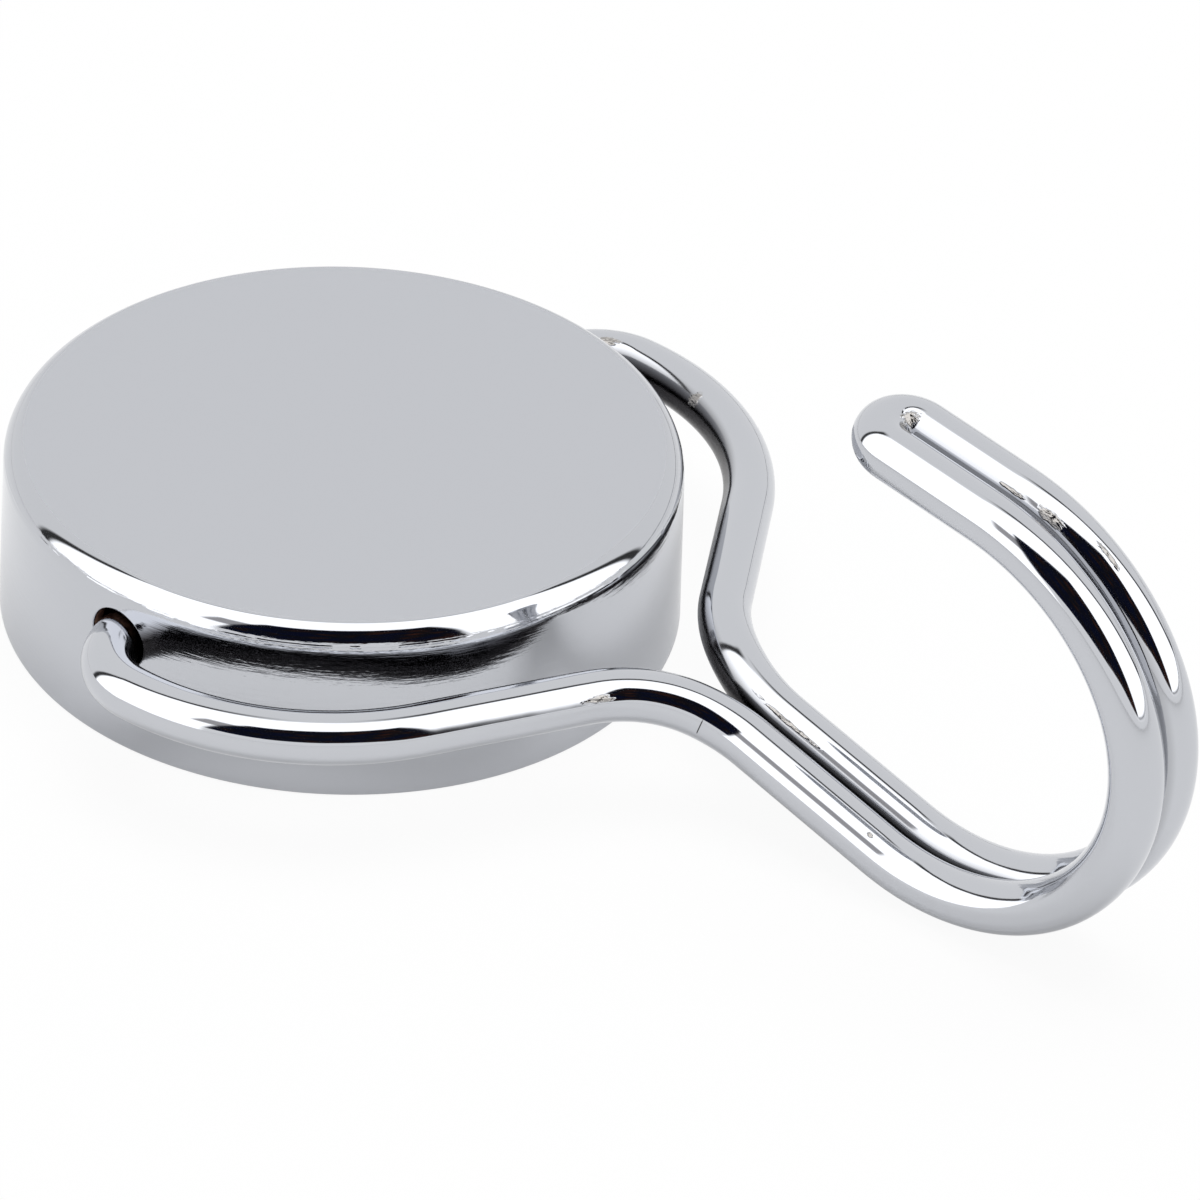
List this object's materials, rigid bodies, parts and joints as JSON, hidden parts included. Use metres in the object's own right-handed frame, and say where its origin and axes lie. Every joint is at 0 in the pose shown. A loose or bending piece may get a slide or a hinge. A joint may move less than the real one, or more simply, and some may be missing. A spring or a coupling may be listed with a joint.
{
  "type": "magnetic hook",
  "caption": "Round chrome cup magnet with a one-piece wire hook that swings in holes in the cup's side wall.",
  "frame": {"origin": "middle of the magnet's face, level with the cup's rim", "axes": "+Z out of the closed face of the cup, away from the surface the magnet holds to; +X along the hook as it lies flat on that surface; +Y along the axis the hook swings on"},
  "size_m": [0.0711, 0.045, 0.0272],
  "materials": {
    "chrome_cup": "polished chrome plate on drawn steel, fine tumbling marks",
    "chrome_wire": "polished chrome plate on bent steel wire, small nicks in the plating",
    "ferrite": "ground sintered ferrite, dark grey, matt",
    "spacer_plastic": "moulded black plastic"
  },
  "bodies": {
    "cup_body": {"cup": "chrome_cup", "magnet": "ferrite", "spacer_ring": "spacer_plastic"},
    "hook_body": {"swing_hook": "chrome_wire"}
  },
  "joints": [
    {"name": "hook_swing", "type": "hinge", "parent": "cup_body", "child": "hook_body", "pos_m": [0, 0, 0.0064], "axis": [0, -1, 0], "range_deg": [0, 157]}
  ]
}
